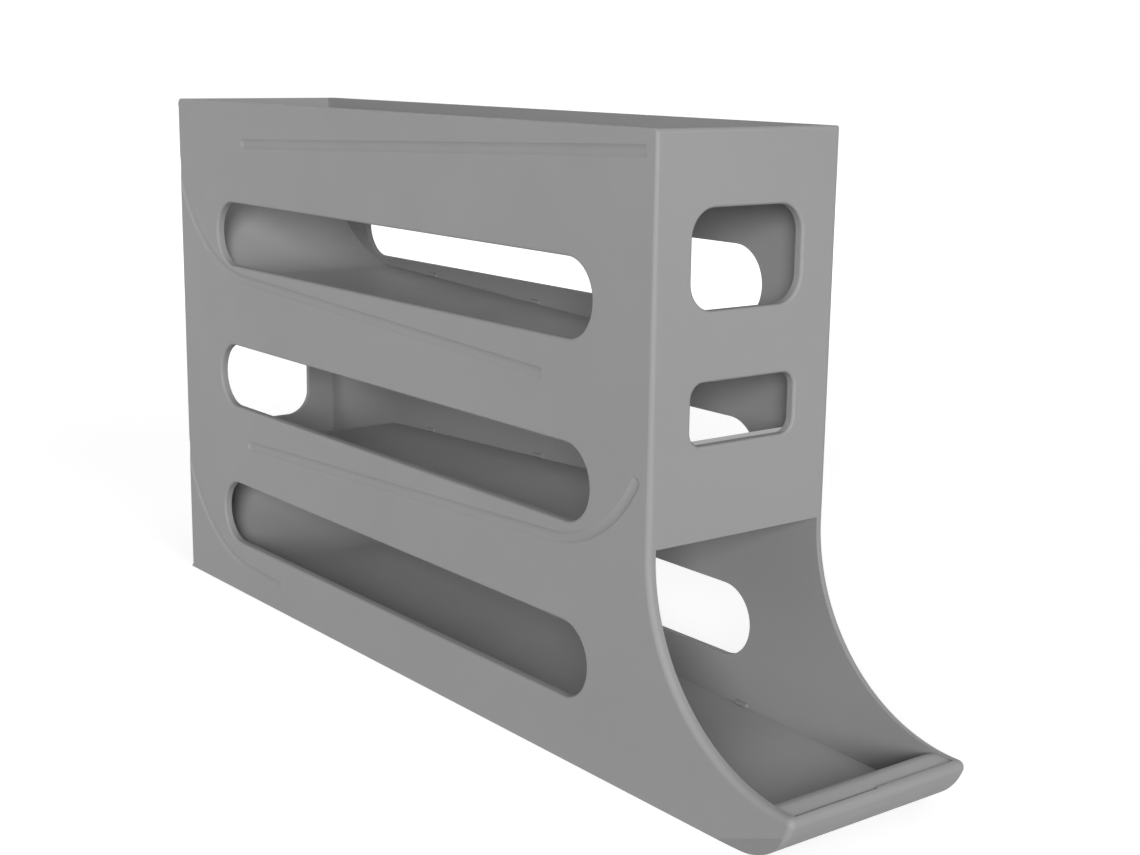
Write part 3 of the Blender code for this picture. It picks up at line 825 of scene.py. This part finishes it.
def tray_piece(name, node, track, above, below, front, back, free, soft, finish, trays):
    """Plate across the rack, clipped to the walls, with the edges that free names rounded."""
    scene = bpy.context.scene
    inner = HALF - scene.rack_shell.wall - trays.clearance
    bm = bmesh.new()
    face = track.ribbon(bm, above, below)
    shift(bm, face, (-inner, 0, 0))
    push(bm, face, inner)
    close(bm)
    if front is not None:
        clip(bm, front, True)
    if back is not None:
        clip(bm, back, False)
    close(bm)
    ends = [e for e in bm.edges if runs_across(e) and free(*middle(e))]
    if ends:
        bmesh.ops.bevel(
            bm, geom=ends, offset=soft, offset_type="OFFSET", segments=8,
            profile=0.5, affect="EDGES", clamp_overlap=True, material=-1)
    finish_piece(mesh_object(name, bm), name, node, finish)


class RACK_OT_half_shells(bpy.types.Operator):
    """Build the two moulded half shells"""
    bl_idname = "rack.half_shells"
    bl_label = "Half shells"

    def execute(self, context):
        sizes, trays = context.scene.rack_shell, context.scene.rack_trays
        looks = context.scene.rack_finish
        finish = moulded_plastic("shell plastic", looks.shell_grey, looks)
        back = GROOVE_BACK - sizes.groove_width / 2
        grooves = (
            (straight(TOP_GROOVE_FRONT, back), (False, True)),
            (rising(DROP_FRONT, TRAY_SLOPE, SECOND_BEND_Z), (False, False)),
            (falling(THIRD_GROOVE_START, back), (True, True)),
            (rising(BOTTOM_GROOVE_FRONT, BOTTOM_SLOPE, BOTTOM_BEND_Z), (False, False)),
        )
        for side, name, node in ((-1, "left_shell", "left_half_shell"),
                                 (1, "right_shell", "right_half_shell")):
            body = solid_half(side, sizes)
            combine(body, [cavity(side, sizes)], "DIFFERENCE")
            combine(body, supports(side, sizes, trays), "UNION")
            tools = [slot_tool(side, z, sizes) for z in SLOTS]
            tools += [window_tool(w, 0, 1, sizes) for w in FRONT_WINDOWS]
            tools += [window_tool(w, LENGTH, -1, sizes) for w in BACK_WINDOWS]
            tools += [groove_tool(side, track, sizes, domes) for track, domes in grooves]
            combine(body, tools, "DIFFERENCE")
            bm = bmesh.new()
            bm.from_mesh(body.data)
            relieve_nose(bm, side)
            bm.to_mesh(body.data)
            bm.free()
            finish_piece(body, name, node, finish)
        return {"FINISHED"}


class RACK_OT_trays(bpy.types.Operator):
    """Build the three upper trays"""
    bl_idname = "rack.trays"
    bl_label = "Upper trays"

    def execute(self, context):
        trays, looks = context.scene.rack_trays, context.scene.rack_finish
        finish = moulded_plastic("tray plastic", looks.tray_grey, looks)
        half = trays.plate / 2
        soft = trays.plate * 0.48
        front = context.scene.rack_shell.wall + trays.clearance
        back = LENGTH - front

        def back_end(y, z):
            return y > DROP_BACK - trays.plate

        def front_end(y, z):
            return y < DROP_FRONT + trays.plate

        tray_piece("top_shelf", "top_tray", straight(TOP_TRAY_FRONT, DROP_BACK), half, -half,
                   front, None, back_end, soft, finish, trays)
        tray_piece("second_shelf", "second_tray",
                   rising(DROP_FRONT, TRAY_SLOPE, SECOND_BEND_Z), half, -half,
                   None, back, front_end, soft, finish, trays)
        tray_piece("third_shelf", "third_tray", falling(THIRD_START, DROP_BACK), half, -half,
                   front, None, back_end, soft, finish, trays)
        return {"FINISHED"}


class RACK_OT_bottom_tray(bpy.types.Operator):
    """Build the bottom tray with its raised lip"""
    bl_idname = "rack.bottom_tray"
    bl_label = "Bottom tray and lip"

    def execute(self, context):
        trays, looks = context.scene.rack_trays, context.scene.rack_finish
        finish = moulded_plastic("lip plastic", looks.tray_grey, looks)
        back = LENGTH - context.scene.rack_shell.wall - trays.clearance

        def joint(y, z):
            return y < -LIP_CREST - LIP_FOLD and z > NOSE_TOP - trays.plate

        tray_piece("bottom_shelf", "bottom_tray", lip_track(trays.plate), 0, -trays.plate,
                   None, back, joint, LIP_JOINT_SOFT, finish, trays)
        return {"FINISHED"}


class RACK_OT_stage(bpy.types.Operator):
    """Set the camera, the soft lamps and the pale floor"""
    bl_idname = "rack.stage"
    bl_label = "Stage"

    def execute(self, context):
        stage = context.scene.rack_stage
        place_camera()
        white_floor(stage)
        surround(stage)
        for name, (spot, width) in LAMPS.items():
            soft_lamp(name + " lamp", spot, width, getattr(stage, name))
        context.scene.view_settings.view_transform = "Standard"
        return {"FINISHED"}


def place_camera():
    """Camera at the photograph's view: its columns are right, up, back and place."""
    right = Vector((0.79204445, -0.61032666, 0.01292111))
    up = Vector((0.11678019, 0.17225744, 0.97810519))
    back = Vector((-0.59918944, -0.77319386, 0.20770961))
    spot = Vector((-0.36009031, -0.50126145, 0.22059951))
    lens = bpy.data.cameras.new("view")
    lens.sensor_width = 36
    lens.lens = 55.8735
    lens.shift_x = -0.5 / IMAGE_WIDTH
    lens.shift_y = 0.5 / IMAGE_WIDTH
    lens.clip_start = 0.01
    lens.clip_end = 50
    camera = bpy.data.objects.new("view", lens)
    rows = [(right[i], up[i], back[i], spot[i]) for i in range(3)]
    camera.matrix_world = Matrix((*rows, (0, 0, 0, 1)))
    bpy.context.scene.collection.objects.link(camera)
    bpy.context.scene.camera = camera


def seen_or_mirrored(nodes, links):
    """One for rays from the camera and rays that gloss or glass sends on, else zero."""
    path = nodes.new("ShaderNodeLightPath")
    total = path.outputs["Is Camera Ray"]
    for kind in ("Is Glossy Ray", "Is Transmission Ray"):
        either = nodes.new("ShaderNodeMath")
        either.operation = "MAXIMUM"
        links.new(total, either.inputs[0])
        links.new(path.outputs[kind], either.inputs[1])
        total = either.outputs["Value"]
    return total


def white_floor(stage):
    """Pale floor that keeps the rack's shadow and turns plain white away from it."""
    bm = bmesh.new()
    bmesh.ops.create_grid(bm, x_segments=1, y_segments=1, size=FLOOR_HALF)
    floor = mesh_object("floor", bm)
    material = bpy.data.materials.new("floor white")
    material.use_nodes = True
    nodes, links = material.node_tree.nodes, material.node_tree.links
    shader = nodes["Principled BSDF"]
    shader.inputs["Roughness"].default_value = 1.0
    shader.inputs["Specular IOR Level"].default_value = 0.0
    place = nodes.new("ShaderNodeTexCoord")
    speck = nodes.new("ShaderNodeTexNoise")
    speck.inputs["Scale"].default_value = 30.0
    links.new(place.outputs["Object"], speck.inputs["Vector"])
    tone = nodes.new("ShaderNodeMix")
    tone.data_type = "RGBA"
    white = stage.floor_white
    tone.inputs["A"].default_value = (*[white * 0.995] * 3, 1)
    tone.inputs["B"].default_value = (*[white] * 3, 1)
    links.new(speck.outputs["Fac"], tone.inputs["Factor"])
    links.new(tone.outputs["Result"], shader.inputs["Base Color"])
    away = nodes.new("ShaderNodeVectorMath")
    away.operation = "LENGTH"
    links.new(place.outputs["Object"], away.inputs[0])
    fade = nodes.new("ShaderNodeMapRange")
    fade.interpolation_type = "SMOOTHSTEP"
    fade.inputs["From Min"].default_value = TOTAL_LENGTH
    fade.inputs["From Max"].default_value = TOTAL_LENGTH * 3
    fade.inputs["To Min"].default_value = stage.floor_glow
    fade.inputs["To Max"].default_value = 1.0
    links.new(away.outputs["Value"], fade.inputs["Value"])
    shader.inputs["Emission Color"].default_value = (1, 1, 1, 1)
    lift = nodes.new("ShaderNodeMath")
    lift.operation = "MULTIPLY"
    links.new(seen_or_mirrored(nodes, links), lift.inputs[0])
    links.new(fade.outputs["Result"], lift.inputs[1])
    links.new(lift.outputs["Value"], shader.inputs["Emission Strength"])
    floor.data.materials.append(material)


def surround(stage):
    """Even light from all round, seen as white."""
    world = bpy.data.worlds.new("surround")
    bpy.context.scene.world = world
    world.use_nodes = True
    nodes, links = world.node_tree.nodes, world.node_tree.links
    sky = nodes["Background"]
    sky.inputs["Color"].default_value = (1, 1, 1, 1)
    level = nodes.new("ShaderNodeMix")
    level.inputs["A"].default_value = stage.surround
    level.inputs["B"].default_value = 1.0
    links.new(seen_or_mirrored(nodes, links), level.inputs["Factor"])
    links.new(level.outputs["Result"], sky.inputs["Strength"])


def soft_lamp(name, spot, size, power):
    """Round lamp that points at the middle of the rack."""
    lamp = bpy.data.lights.new(name, "AREA")
    lamp.shape = "DISK"
    lamp.size = size
    lamp.energy = power
    obj = bpy.data.objects.new(name, lamp)
    obj.location = spot
    aim = Vector((0, 0, HEIGHT / 2))
    obj.rotation_euler = (aim - Vector(spot)).to_track_quat("-Z", "Y").to_euler()
    bpy.context.scene.collection.objects.link(obj)


class RACK_PT_panel(bpy.types.Panel):
    """Sizes, colours and build steps of the rack"""
    bl_idname = "RACK_PT_panel"
    bl_label = "Rolling dispenser rack"
    bl_space_type = "VIEW_3D"
    bl_region_type = "UI"
    bl_category = "Rack"

    def draw(self, context):
        for title, group, names in PANEL_ROWS:
            box = self.layout.box()
            box.label(text=title)
            for name in names:
                box.prop(getattr(context.scene, group), name)
        for operator in OPERATORS:
            self.layout.operator(operator.bl_idname)


GROUPS = {
    "rack_shell": RackShellSizes,
    "rack_trays": RackTraySizes,
    "rack_finish": RackFinish,
    "rack_stage": RackStage,
}
PANEL_ROWS = (
    ("Shells", "rack_shell",
     ("wall", "side_soft", "rim_soft", "seam", "groove_width", "groove_depth", "ledge", "rounds")),
    ("Trays", "rack_trays", ("plate", "clearance")),
    ("Finish", "rack_finish", ("shell_grey", "tray_grey", "roughness", "grain", "grain_depth")),
    ("Stage", "rack_stage",
     ("floor_white", "floor_glow", "surround", "key", "top", "front", "side", "back")),
)
OPERATORS = (RACK_OT_half_shells, RACK_OT_trays, RACK_OT_bottom_tray, RACK_OT_stage)


def register():
    for cls in (*GROUPS.values(), *OPERATORS, RACK_PT_panel):
        bpy.utils.register_class(cls)
    for name, group in GROUPS.items():
        setattr(bpy.types.Scene, name, PointerProperty(type=group))


def unregister():
    for name in GROUPS:
        delattr(bpy.types.Scene, name)
    for cls in reversed((*GROUPS.values(), *OPERATORS, RACK_PT_panel)):
        bpy.utils.unregister_class(cls)


def main():
    register()
    bpy.ops.rack.half_shells()
    bpy.ops.rack.trays()
    bpy.ops.rack.bottom_tray()
    bpy.ops.rack.stage()


if __name__ == "__main__":
    main()
